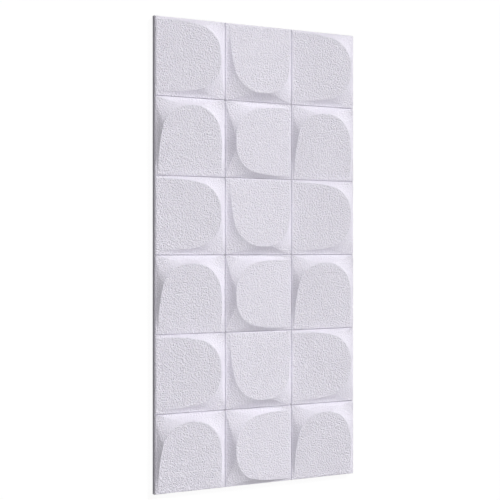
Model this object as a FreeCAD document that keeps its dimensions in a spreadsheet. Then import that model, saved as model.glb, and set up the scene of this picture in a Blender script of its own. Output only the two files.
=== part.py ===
"""Moulded wall panel: one piece with a pinwheel relief of tilted pads, lying on its flat back.

Millimetres. X runs across the panel, Y along it and Z out of the relief. The origin is the middle
of the back. Each square cell of the relief carries one pad, which rises from the low border of its
cell to a rounded nose, and its neighbours in the block of four are the same cell in quarter turns.
Left and right of a pad are meant facing its nose.
"""
import FreeCAD, Part
import enum
import math
import os

import Sketcher

# Cells across and along the panel
COLUMNS = 3
ROWS = 6

# Driving dimensions. Insets are measured in plan, from the border lines of a cell.
SIZES = {
    "panel_width": 500.0,      # across the columns; the cells are square, so the length follows
    "plate_thickness": 8.5,    # from the back to the floor of the grooves
    "groove_depth": 3.0,       # from the floor of the grooves to the borders of the cells
    "groove_width": 2.4,       # across the top of a groove
    "groove_floor": 0.6,       # across the bottom of a groove
    "border_round": 4.0,       # corners of a cell's border at its high end
    "pad_rise": 16.0,          # from the borders of the cells to the tip of the nose
    "pad_lip": 0.6,            # from the borders of the cells to the pad's plane over its low border
    "low_inset": 3.2,          # low edge of the pad
    "left_inset": 6.4,         # left side of the pad
    "right_inset": 10.6,       # right side of the pad
    "nose_inset": 18.0,        # tip of the nose
    "side_straight": 35.0,     # from the low border to where the sides begin to bow
    "side_radius": 320.0,      # bow of both sides
    "left_corner_radius": 59.0,
    "right_corner_radius": 67.0,
    "nose_radius": 140.0,
}

PITCH = f"Sizes.panel_width / {COLUMNS}"
BORDER_HEIGHT = "Sizes.plate_thickness + Sizes.groove_depth"
PLAN_REACH = f"({PITCH} - Sizes.nose_inset)"
PAD_CLIMB = "(Sizes.pad_rise - Sizes.pad_lip)"
PAD_SLOPE = f"atan({PAD_CLIMB} / {PLAN_REACH})"
PAD_REACH = f"sqrt({PLAN_REACH} ^ 2 + {PAD_CLIMB} ^ 2)"

# The block of four, clockwise: each cell is the one before it in a quarter turn.
# The nose of the first points to +X.
BLOCK = ("upper_left", "upper_right", "lower_right", "lower_left")


class Spot(enum.IntEnum):
    """The points of an edge in a sketch."""
    START = enum.auto()
    END = enum.auto()
    CENTRE = enum.auto()


# The origin of a sketch, as the start of its X axis
ROOT = (-1, Spot.START)


def make_sheet(doc):
    sheet = doc.addObject("Spreadsheet::Sheet", "Sizes")
    for row, (alias, value) in enumerate(SIZES.items(), start=1):
        sheet.set(f"A{row}", alias)
        sheet.set(f"B{row}", str(value))
        sheet.setAlias(f"B{row}", alias)
    doc.recompute()


def origin_feature(body, role):
    return next(feature for feature in body.Origin.OriginFeatures if feature.Role == role)


def make_sketch(body, name):
    sketch = body.newObject("Sketcher::SketchObject", name)
    sketch.AttachmentSupport = [(origin_feature(body, "XY_Plane"), "")]
    sketch.MapMode = "FlatFace"
    return sketch


def place_on_cell(sketch, cell, height, slope="0"):
    """Put a sketch's origin over the middle of a cell's low border, with X towards its nose."""
    column, row, turn = cell
    along_x = column - (COLUMNS - 1) / 2 - round(math.cos(math.radians(turn))) / 2
    along_y = (ROWS - 1) / 2 - row - round(math.sin(math.radians(turn))) / 2
    spot = f"vector({along_x} * {PITCH}; {along_y} * {PITCH}; {height})"
    sketch.setExpression("AttachmentOffset", f"placement({spot}; rotation({turn}; -{slope}; 0))")


def bind(sketch, name, constraint, expression):
    index = sketch.addConstraint(constraint)
    sketch.renameConstraint(index, name)
    sketch.setExpression(f"Constraints.{name}", expression)


def line(start, end):
    return Part.LineSegment(FreeCAD.Vector(*start, 0), FreeCAD.Vector(*end, 0))


def arc(centre, radius, from_angle, to_angle):
    circle = Part.Circle(FreeCAD.Vector(*centre, 0), FreeCAD.Vector(0, 0, 1), radius)
    return Part.ArcOfCircle(circle, from_angle, to_angle)


def close_loop(sketch, smooth_joints):
    """Join each edge of a loop to the next, tangent where the outline runs on smoothly."""
    for joint, smooth in enumerate(smooth_joints):
        kind = "Tangent" if smooth else "Coincident"
        following = (joint + 1) % len(smooth_joints)
        sketch.addConstraint(Sketcher.Constraint(kind, joint, Spot.END, following, Spot.START))


def level(sketch, kind, edges):
    for edge in edges:
        sketch.addConstraint(Sketcher.Constraint(kind, edge))


def border_outline(sketch, inset, inset_expression):
    """A cell's square border, set in from the border lines, with its two high corners rounded.

    Its sides are parted where the sides of the pad begin to bow, so that the flanks follow them.
    """
    pitch = SIZES["panel_width"] / COLUMNS
    straight = SIZES["side_straight"]
    radius = SIZES["border_round"]
    far = pitch - inset
    half = pitch / 2 - inset
    right_low, right, right_corner, nose, left_corner, left, left_low, low = range(8)
    sketch.addGeometry([
        line((inset, -half), (straight, -half)),
        line((straight, -half), (far - radius, -half)),
        arc((far - radius, radius - half), radius, -math.pi / 2, 0),
        line((far, radius - half), (far, half - radius)),
        arc((far - radius, half - radius), radius, 0, math.pi / 2),
        line((far - radius, half), (straight, half)),
        line((straight, half), (inset, half)),
        line((inset, half), (inset, -half)),
    ])
    close_loop(sketch, [False, True, True, True, True, False, False, False])
    level(sketch, "Horizontal", (right_low, right, left, left_low))
    level(sketch, "Vertical", (nose, low))
    half_expression = f"{PITCH} / 2 - {inset_expression}"
    bind(sketch, "low_side", Sketcher.Constraint("DistanceX", *ROOT, low, Spot.START, inset),
         inset_expression)
    bind(sketch, "high_side", Sketcher.Constraint("DistanceX", *ROOT, nose, Spot.START, far),
         f"{PITCH} - {inset_expression}")
    bind(sketch, "left_half", Sketcher.Constraint("DistanceY", *ROOT, left, Spot.START, half),
         half_expression)
    bind(sketch, "right_half", Sketcher.Constraint("DistanceY", right, Spot.START, *ROOT, half),
         half_expression)
    for name, edge in (("left_parting", left_low), ("right_parting", right)):
        bind(sketch, name, Sketcher.Constraint("DistanceX", *ROOT, edge, Spot.START, straight),
             "Sizes.side_straight")
    for name, corner in (("left_round", left_corner), ("right_round", right_corner)):
        bind(sketch, name, Sketcher.Constraint("Radius", corner, radius), "Sizes.border_round")


def corner_arc(nose_centre, side_centre, corner_radius):
    """Centre and end angles of the arc that runs from the nose arc into the left side arc."""
    from_nose = SIZES["nose_radius"] - corner_radius
    from_side = SIZES["side_radius"] - corner_radius
    apart = side_centre - nose_centre
    span = apart.Length
    along = (span ** 2 + from_nose ** 2 - from_side ** 2) / (2 * span)
    across = math.sqrt(from_nose ** 2 - along ** 2)
    unit = apart / span
    centre = nose_centre + unit * along + FreeCAD.Vector(-unit.y, unit.x, 0) * across
    to_nose = centre - nose_centre
    to_side = centre - side_centre
    return centre, math.atan2(to_nose.y, to_nose.x), math.atan2(to_side.y, to_side.x)


def pad_outline(sketch):
    """The pad's outline in its own plane: a low edge, sides that bow inwards and a rounded nose."""
    pitch = SIZES["panel_width"] / COLUMNS
    plan_reach = pitch - SIZES["nose_inset"]
    reach = math.hypot(plan_reach, SIZES["pad_rise"] - SIZES["pad_lip"])
    low = SIZES["low_inset"] * reach / plan_reach
    straight = SIZES["side_straight"]
    left_half = pitch / 2 - SIZES["left_inset"]
    right_half = pitch / 2 - SIZES["right_inset"]
    nose_radius = SIZES["nose_radius"]
    side_radius = SIZES["side_radius"]
    left_radius = SIZES["left_corner_radius"]
    right_radius = SIZES["right_corner_radius"]
    nose_x = reach - nose_radius
    nose_centre = FreeCAD.Vector(nose_x, 0, 0)
    left_centre, left_nose, left_side = corner_arc(
        nose_centre, FreeCAD.Vector(straight, left_half - side_radius, 0), left_radius)
    # The right half is worked out mirrored, as a left half
    right_centre, right_nose, right_side = corner_arc(
        nose_centre, FreeCAD.Vector(straight, right_half - side_radius, 0), right_radius)

    right_low, right, right_corner, nose, left_corner, left, left_low, low_edge = range(8)
    sketch.addGeometry([
        line((low, -right_half), (straight, -right_half)),
        arc((straight, side_radius - right_half), side_radius, -math.pi / 2, -right_side),
        arc((right_centre.x, -right_centre.y), right_radius, -right_side, -right_nose),
        arc((nose_x, 0), nose_radius, -right_nose, left_nose),
        arc((left_centre.x, left_centre.y), left_radius, left_nose, left_side),
        arc((straight, left_half - side_radius), side_radius, left_side, math.pi / 2),
        line((straight, left_half), (low, left_half)),
        line((low, left_half), (low, -right_half)),
    ])
    close_loop(sketch, [True, True, True, True, True, True, False, False])
    level(sketch, "Horizontal", (right_low, left_low))
    level(sketch, "Vertical", (low_edge,))
    axis, _ = ROOT
    sketch.addConstraint(Sketcher.Constraint("PointOnObject", nose, Spot.CENTRE, axis))
    bind(sketch, "low_side", Sketcher.Constraint("DistanceX", *ROOT, low_edge, Spot.START, low),
         f"Sizes.low_inset * {PAD_REACH} / {PLAN_REACH}")
    bind(sketch, "left_half", Sketcher.Constraint("DistanceY", *ROOT, low_edge, Spot.START, left_half),
         f"{PITCH} / 2 - Sizes.left_inset")
    bind(sketch, "right_half", Sketcher.Constraint("DistanceY", low_edge, Spot.END, *ROOT, right_half),
         f"{PITCH} / 2 - Sizes.right_inset")
    for name, edge in (("left_parting", left_low), ("right_parting", right)):
        bind(sketch, name, Sketcher.Constraint("DistanceX", *ROOT, edge, Spot.START, straight),
             "Sizes.side_straight")
    bind(sketch, "nose_centre", Sketcher.Constraint("DistanceX", *ROOT, nose, Spot.CENTRE, nose_x),
         f"{PAD_REACH} - Sizes.nose_radius")
    for name, edge, size in (
        ("nose_arc", nose, "nose_radius"),
        ("left_corner_arc", left_corner, "left_corner_radius"),
        ("right_corner_arc", right_corner, "right_corner_radius"),
        ("left_side_arc", left, "side_radius"),
        ("right_side_arc", right, "side_radius"),
    ):
        bind(sketch, name, Sketcher.Constraint("Radius", edge, SIZES[size]), f"Sizes.{size}")


def make_plate(body):
    """The flat plate behind the relief, up to the floor of the grooves."""
    sketch = make_sketch(body, "plate_outline")
    width = SIZES["panel_width"]
    length = width / COLUMNS * ROWS
    low, high = -length / 2, length / 2
    corners = [(-width / 2, low), (width / 2, low), (width / 2, high), (-width / 2, high)]
    sketch.addGeometry([line(*ends) for ends in zip(corners, corners[1:] + corners[:1])])
    close_loop(sketch, [False] * len(corners))
    front, right, back, left = range(4)
    level(sketch, "Horizontal", (front, back))
    level(sketch, "Vertical", (right, left))
    sketch.addConstraint(Sketcher.Constraint("Symmetric", front, Spot.START, back, Spot.START, *ROOT))
    bind(sketch, "width", Sketcher.Constraint("DistanceX", front, Spot.START, front, Spot.END, width),
         "Sizes.panel_width")
    bind(sketch, "length", Sketcher.Constraint("DistanceY", right, Spot.START, right, Spot.END, length),
         f"{PITCH} * {ROWS}")
    plate = body.newObject("PartDesign::Pad", "plate")
    plate.Profile = sketch
    plate.setExpression("Length", "Sizes.plate_thickness")


def make_cell(body, name, cell):
    """One cell: groove walls up to its border, then straight flanks up to the tilted pad."""
    foot = make_sketch(body, f"{name}_foot")
    place_on_cell(foot, cell, "Sizes.plate_thickness")
    border_outline(foot, SIZES["groove_floor"] / 2, "Sizes.groove_floor / 2")
    border = make_sketch(body, f"{name}_border")
    place_on_cell(border, cell, BORDER_HEIGHT)
    border_outline(border, SIZES["groove_width"] / 2, "Sizes.groove_width / 2")
    pad = make_sketch(body, f"{name}_pad")
    place_on_cell(pad, cell, f"{BORDER_HEIGHT} + Sizes.pad_lip", PAD_SLOPE)
    pad_outline(pad)
    relief = body.newObject("PartDesign::AdditiveLoft", f"{name}_cell")
    relief.Profile = foot
    relief.Sections = [border, pad]
    relief.Ruled = True
    return relief


def repeat_cell(body, relief, cell):
    """Repeat one cell of the block over the panel, two cells apart each way."""
    column, row, _ = cell
    across = len(range(column, COLUMNS, 2))
    along = len(range(row, ROWS, 2))
    pattern = body.newObject("PartDesign::LinearPattern", f"{relief.Name}s")
    pattern.Originals = [relief]
    pattern.Direction = (origin_feature(body, "X_Axis"), [""])
    pattern.Occurrences = across
    pattern.setExpression("Length", f"2 * {PITCH} * {max(across - 1, 1)}")
    pattern.Direction2 = (origin_feature(body, "Y_Axis"), [""])
    pattern.Reversed2 = True
    pattern.Occurrences2 = along
    pattern.setExpression("Length2", f"2 * {PITCH} * {max(along - 1, 1)}")
    body.Tip = pattern


def make_panel(doc):
    panel = doc.addObject("PartDesign::Body", "panel_body")
    panel.Label = "wall_panel"
    panel.Placement = FreeCAD.Placement()
    make_plate(panel)
    for quarter, name in enumerate(BLOCK):
        cell = (int("right" in name), int("lower" in name), -90 * quarter)
        relief = make_cell(panel, name, cell)
        doc.recompute()
        repeat_cell(panel, relief, cell)
        doc.recompute()
    return panel


def check(doc):
    for item in doc.Objects:
        if "Invalid" in item.State or "Error" in item.State:
            raise RuntimeError(f"{item.Name} is not sound: {item.State}")


def main():
    doc = FreeCAD.newDocument("wall_panel")
    make_sheet(doc)
    panel = make_panel(doc)
    check(doc)
    shape = panel.Shape
    if shape.isNull() or not shape.isValid() or len(shape.Solids) != 1:
        raise RuntimeError("the panel is not one sound solid")
    os.makedirs("parts", exist_ok=True)
    shape.exportStep(f"parts/{panel.Label}.step")


main()
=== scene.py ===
"""Looks of the moulded foam wall panel, lying on its back and seen from above and to the left."""
import math

import bpy
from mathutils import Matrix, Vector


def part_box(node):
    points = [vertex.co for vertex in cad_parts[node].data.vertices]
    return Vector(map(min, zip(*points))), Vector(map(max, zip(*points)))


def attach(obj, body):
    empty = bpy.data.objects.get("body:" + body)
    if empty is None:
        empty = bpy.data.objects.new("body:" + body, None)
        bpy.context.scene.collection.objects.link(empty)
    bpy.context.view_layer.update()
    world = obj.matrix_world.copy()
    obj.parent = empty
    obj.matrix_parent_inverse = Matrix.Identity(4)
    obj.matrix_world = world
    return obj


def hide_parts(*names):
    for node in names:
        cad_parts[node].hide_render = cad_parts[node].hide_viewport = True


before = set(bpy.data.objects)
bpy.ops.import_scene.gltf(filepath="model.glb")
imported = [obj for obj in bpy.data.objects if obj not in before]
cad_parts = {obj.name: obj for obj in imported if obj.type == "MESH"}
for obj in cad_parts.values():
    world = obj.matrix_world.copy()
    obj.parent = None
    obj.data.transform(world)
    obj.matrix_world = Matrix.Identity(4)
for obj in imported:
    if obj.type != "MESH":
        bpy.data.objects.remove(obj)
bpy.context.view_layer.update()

PANEL_LOW, PANEL_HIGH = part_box("wall_panel")

# The relief has three square cells across the panel, parted by grooves.
# In each a tilted pad rises from the low border to its nose, and flanks slope from its rim to the border.
COLUMNS = 3
CELL = (PANEL_HIGH[0] - PANEL_LOW[0]) / COLUMNS
PAD_RISE = 0.016
PAD_LIP = 0.0006
NOSE_INSET = 0.018
GROOVE_DEPTH = 0.003
BORDER_HEIGHT = PANEL_HIGH[2] - PAD_RISE
GROOVE_FLOOR = BORDER_HEIGHT - GROOVE_DEPTH

# The flanks are hollowed by a share of the way from the border, and by less where they rise gently
FLANK_CUTS = 2
FLANK_DISH = 0.40
GENTLE_SLOPE = 0.4

# Edges below this angle are shaded smooth, and places within a hair of each other count as one
SMOOTH_ANGLE = math.radians(17)
HAIR = 0.00001

# Foam: its colours from cloud to cloud, a painted highlight that lightens the tips of the grain, and its
# dull finish
FOAM_COLOUR = (0.868, 0.838, 0.936)
FOAM_SHADE = (0.853, 0.826, 0.916)
TIP_HIGHLIGHT_COLOUR = (0.940, 0.912, 0.990)
CLOUDS_PER_METRE = 9.0
CLOUD_DETAIL = 3.0
ROUGHNESS, ROUGHNESS_SPREAD = 0.62, 0.16
GLOSS_LEVEL = 0.25

# The pebbled grain of its skin, which is fainter on the flanks than on the pads.
# A face counts as a pad by the upright part of its normal.
GRAIN_PER_METRE = 350.0
GRAIN_DETAIL, GRAIN_ROUGHNESS = 1.0, 0.5
BEADS_PER_METRE = 330.0
BEAD_SMOOTHNESS = 0.6
BEAD_SHARE = 0.15
MIDDLE = 0.5
GRAIN_HEIGHT = 0.0042
PEAK_HEIGHT = 0.2
FLANK_UPRIGHT, PAD_UPRIGHT = 0.93, 0.985
FLANK_GRAIN = 0.52

# Painted shade in the grooves between the cells, a darker colour where shade falls down in them:
# its colour, the depths at which it begins and is full, and the edge around the panel kept free of it
GROOVE_SHADE_COLOUR = (0.640, 0.619, 0.686)
SHADE_TOP, SHADE_FULL = 0.0016, 0.0026
EDGE_CLEAR = 0.0015

# Camera, as fitted to the photograph: place in cells from the middle of the plane of the borders
CAMERA_PLACE = (-8.021, 0.063, 13.878)
CAMERA_TILT = math.radians(29.61)
CAMERA_LENS = 88.05
SENSOR_WIDTH = 36.0

# Light, with the place and breadth of each lamp in degrees: a key from the upper right,
# and a high fill against it
KEY = {"azimuth": 45, "elevation": 33, "spread": 12, "strength": 2.46}
FILL = {"azimuth": 225, "elevation": 68, "spread": 34, "strength": 1.67}
BACKDROP_COLOUR = (1.0, 1.0, 1.0, 1.0)
FLOOR_SIZE = 8.0
FLOOR_DROP = 0.0005
FLOOR_COLOUR = (0.12, 0.12, 0.12, 1.0)
FLOOR_GLOW = 0.90

# Places of a Mix node's sockets when it mixes colours
MIX_FACTOR, MIX_FIRST, MIX_SECOND = 0, 6, 7
MIX_RESULT = 2


class Value:
    """A socket that takes part in Python arithmetic by adding Math nodes."""

    def __init__(self, shader, socket):
        self.shader = shader
        self.socket = socket

    def maths(self, operation, first, second):
        return self.shader.node("ShaderNodeMath", {"operation": operation}, {0: first, 1: second})

    def __add__(self, other):
        return self.maths("ADD", self, other)

    def __radd__(self, other):
        return self.maths("ADD", other, self)

    def __sub__(self, other):
        return self.maths("SUBTRACT", self, other)

    def __rsub__(self, other):
        return self.maths("SUBTRACT", other, self)

    def __mul__(self, other):
        return self.maths("MULTIPLY", self, other)

    def __rmul__(self, other):
        return self.maths("MULTIPLY", other, self)

    def __abs__(self):
        return self.shader.node("ShaderNodeMath", {"operation": "ABSOLUTE"}, {0: self})

    def ramp(self, start, end, low=0.0, high=1.0):
        """Runs from the low to the high value while this number runs from start to end."""
        ends = {"From Min": start, "From Max": end, "To Min": low, "To Max": high}
        return self.shader.node("ShaderNodeMapRange", None, {"Value": self, **ends})

    def axis(self, name):
        """One of the three numbers of a vector."""
        return self.shader.node("ShaderNodeSeparateXYZ", None, {"Vector": self}, output=name)


class Shader:
    """The node tree of a material or the world."""

    def __init__(self, tree):
        self.tree = tree
        tree.nodes.clear()

    def node(self, kind, settings=None, sockets=None, output=0):
        """Adds a node, sets it up, fills or links its sockets and gives one of its outputs."""
        made = self.tree.nodes.new(kind)
        for name, setting in (settings or {}).items():
            setattr(made, name, setting)
        for name, value in (sockets or {}).items():
            if isinstance(value, Value):
                self.tree.links.new(value.socket, made.inputs[name])
            else:
                made.inputs[name].default_value = value
        return Value(self, made.outputs[output] if made.outputs else None)

    def mix(self, factor, first, second):
        """A colour between two others, each a colour or a socket."""
        first, second = (c if isinstance(c, Value) else (*c, 1.0) for c in (first, second))
        sockets = {MIX_FACTOR: factor, MIX_FIRST: first, MIX_SECOND: second}
        return self.node("ShaderNodeMix", {"data_type": "RGBA"}, sockets, output=MIX_RESULT)


def new_material(name):
    """An empty material and its node tree."""
    material = bpy.data.materials.new(name)
    material.use_nodes = True
    return material, Shader(material.node_tree)


def painted_groove_shade(place):
    """Where shade is painted: 1 down in the grooves between the cells, and 0 on the relief, the outer
    walls and the back.
    """
    level = place.axis("Z")
    below_border = level.ramp(BORDER_HEIGHT - SHADE_TOP, BORDER_HEIGHT - SHADE_FULL)
    above_floor = level.ramp(GROOVE_FLOOR - SHADE_TOP, GROOVE_FLOOR)
    inside = abs(place.axis("X")).ramp(PANEL_HIGH[0] - EDGE_CLEAR, PANEL_HIGH[0] - 2 * EDGE_CLEAR)
    between_ends = abs(place.axis("Y")).ramp(PANEL_HIGH[1] - EDGE_CLEAR, PANEL_HIGH[1] - 2 * EDGE_CLEAR)
    return below_border * above_floor * inside * between_ends


def foam_material():
    """Matt white foam with a fine rough grain, a painted highlight on the grain's tips and painted shade
    down in the grooves.
    """
    material, shader = new_material("white_foam_grain")
    place = shader.node("ShaderNodeTexCoord", output="Object")
    facing = shader.node("ShaderNodeTexCoord", output="Normal")
    pad = facing.axis("Z").ramp(FLANK_UPRIGHT, PAD_UPRIGHT, FLANK_GRAIN, 1.0)
    grain = {"Scale": GRAIN_PER_METRE, "Detail": GRAIN_DETAIL, "Roughness": GRAIN_ROUGHNESS}
    noise = shader.node("ShaderNodeTexNoise", None, {"Vector": place, **grain})
    pebbles = {"Scale": BEADS_PER_METRE, "Smoothness": BEAD_SMOOTHNESS}
    beads = shader.node("ShaderNodeTexVoronoi", {"feature": "SMOOTH_F1"}, {"Vector": place, **pebbles})
    height = (noise - MIDDLE + BEAD_SHARE * (MIDDLE - beads)) * pad
    relief = {"Height": height, "Strength": 1.0, "Distance": GRAIN_HEIGHT}
    bump = shader.node("ShaderNodeBump", None, relief)
    drift = {"Scale": CLOUDS_PER_METRE, "Detail": CLOUD_DETAIL}
    clouds = shader.node("ShaderNodeTexNoise", None, {"Vector": place, **drift})
    tone = shader.mix(clouds, FOAM_COLOUR, FOAM_SHADE)
    # A painted highlight: the tips of the grain are coloured lighter, as light catches them
    highlit_skin = shader.mix(height.ramp(0.0, PEAK_HEIGHT), tone, TIP_HIGHLIGHT_COLOUR)
    surface = shader.node("ShaderNodeBsdfPrincipled", None, {
        # Painted shade: the grooves are coloured darker where shade falls in them
        "Base Color": shader.mix(painted_groove_shade(place), highlit_skin, GROOVE_SHADE_COLOUR),
        "Roughness": ROUGHNESS + ROUGHNESS_SPREAD * noise,
        "Specular IOR Level": GLOSS_LEVEL,
        "Normal": bump,
    })
    shader.node("ShaderNodeOutputMaterial", None, {"Surface": surface})
    return material


def pad_height(x, y):
    """Height of the pad's plane over the borders of the cell that a place lies in."""
    column, across = divmod((x - PANEL_LOW[0]) / CELL, 1)
    row, down = divmod((PANEL_HIGH[1] - y) / CELL, 1)
    upper, left = row % 2 == 0, column % 2 == 0
    if upper:
        towards_nose = across if left else down
    else:
        towards_nose = 1 - down if left else 1 - across
    return PAD_LIP + (PAD_RISE - PAD_LIP) * towards_nose * CELL / (CELL - NOSE_INSET)


def border_distance(x, y):
    """How far a place is from the nearest side of its cell, and less than that near a corner."""
    across = (x - PANEL_LOW[0]) / CELL % 1
    down = (PANEL_HIGH[1] - y) / CELL % 1
    from_side = min(across, 1 - across)
    from_end = min(down, 1 - down)
    return from_side * from_end / math.hypot(from_side, from_end) * CELL


def is_flank(panel, face):
    """Whether a face belongs to the slopes between a cell's border and the rim of its pad."""
    above = [panel.data.vertices[corner].co.z - BORDER_HEIGHT for corner in face.vertices]
    middle = face.center
    on_pad = middle.z - BORDER_HEIGHT > pad_height(middle.x, middle.y) - HAIR
    return min(above) > -HAIR and max(above) > HAIR and not on_pad


def dish_flanks(panel):
    """Hollow the flanks slightly, the most where they are broad."""
    for face in panel.data.polygons:
        face.select = is_flank(panel, face)
    bpy.ops.object.mode_set(mode="EDIT")
    bpy.ops.mesh.subdivide(number_cuts=FLANK_CUTS)
    bpy.ops.object.mode_set(mode="OBJECT")
    group = panel.vertex_groups.new(name="flanks")
    for vertex in panel.data.vertices:
        height = vertex.co.z - BORDER_HEIGHT
        share = height / pad_height(vertex.co.x, vertex.co.y)
        if 0 < share < 1:
            way = min(border_distance(vertex.co.x, vertex.co.y), height / GENTLE_SLOPE)
            group.add([vertex.index], FLANK_DISH * way * (1 - share) / PAD_RISE, "REPLACE")
    dish = panel.modifiers.new("dish", "DISPLACE")
    dish.direction = "Z"
    dish.vertex_group = group.name
    dish.mid_level = 0
    dish.strength = -PAD_RISE
    bpy.ops.object.modifier_apply(modifier=dish.name)
    panel.vertex_groups.clear()


def moulded_panel():
    """The moulding itself, with its flanks dished."""
    bpy.ops.object.select_all(action="DESELECT")
    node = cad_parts["wall_panel"]
    panel = bpy.data.objects.new("moulded_panel", node.data.copy())
    bpy.context.collection.objects.link(panel)
    panel.select_set(True)
    bpy.context.view_layer.objects.active = panel
    bpy.ops.object.mode_set(mode="EDIT")
    bpy.ops.mesh.select_all(action="SELECT")
    bpy.ops.mesh.remove_doubles(threshold=HAIR)
    bpy.ops.mesh.select_all(action="DESELECT")
    bpy.ops.mesh.select_mode(type="FACE")
    bpy.ops.object.mode_set(mode="OBJECT")
    bpy.ops.mesh.customdata_custom_splitnormals_clear()
    dish_flanks(panel)
    panel.data.materials.clear()
    panel.data.materials.append(foam_material())
    bpy.ops.object.shade_smooth_by_angle(angle=SMOOTH_ANGLE)
    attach(panel, "root")
    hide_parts("wall_panel")


def seen_directly(shader):
    """1 for what the camera sees, itself or through a gloss or glass, and 0 for light on the panel."""
    camera = shader.node("ShaderNodeLightPath", output="Is Camera Ray")
    gloss = shader.node("ShaderNodeLightPath", output="Is Glossy Ray")
    glass = shader.node("ShaderNodeLightPath", output="Is Transmission Ray")
    return camera + gloss + glass


def pale_floor():
    """A white floor that still takes the panel's shadow."""
    bpy.ops.mesh.primitive_plane_add(size=FLOOR_SIZE, location=(0, 0, -FLOOR_DROP))
    floor = bpy.context.object
    floor.name = "floor"
    material, shader = new_material("white_floor")
    paint = shader.node("ShaderNodeBsdfDiffuse", None, {"Color": FLOOR_COLOUR})
    glow = shader.node("ShaderNodeEmission", None, {"Strength": seen_directly(shader) * FLOOR_GLOW})
    both = shader.node("ShaderNodeAddShader", None, {0: paint, 1: glow})
    shader.node("ShaderNodeOutputMaterial", None, {"Surface": both})
    floor.data.materials.append(material)


def soft_lamp(name, azimuth, elevation, spread, strength):
    """A far lamp that shines from the given side and height, as broad as its spread."""
    lamp = bpy.data.lights.new(name, "SUN")
    lamp.energy = strength
    lamp.angle = math.radians(spread)
    holder = bpy.data.objects.new(name, lamp)
    holder.rotation_euler = (0, math.radians(90 - elevation), math.radians(azimuth))
    bpy.context.collection.objects.link(holder)


def studio_light():
    """Key and fill, and a white backdrop that gives no light."""
    soft_lamp("key", **KEY)
    soft_lamp("fill", **FILL)
    world = bpy.data.worlds.new("studio")
    world.use_nodes = True
    shader = Shader(world.node_tree)
    backdrop = {"Color": BACKDROP_COLOUR, "Strength": seen_directly(shader)}
    light = shader.node("ShaderNodeBackground", None, backdrop)
    shader.node("ShaderNodeOutputWorld", None, {"Surface": light})
    bpy.context.scene.world = world


def photo_camera():
    """The photograph's viewpoint, off to the left and tilted back towards the panel."""
    lens = bpy.data.cameras.new("camera")
    lens.lens = CAMERA_LENS
    lens.sensor_width = SENSOR_WIDTH
    camera = bpy.data.objects.new("camera", lens)
    across, along, above = CAMERA_PLACE
    camera.location = (across * CELL, along * CELL, BORDER_HEIGHT + above * CELL)
    camera.rotation_euler = (0, -CAMERA_TILT, 0)
    bpy.context.collection.objects.link(camera)
    bpy.context.scene.camera = camera


moulded_panel()
pale_floor()
studio_light()
photo_camera()
bpy.context.scene.view_settings.view_transform = "Standard"
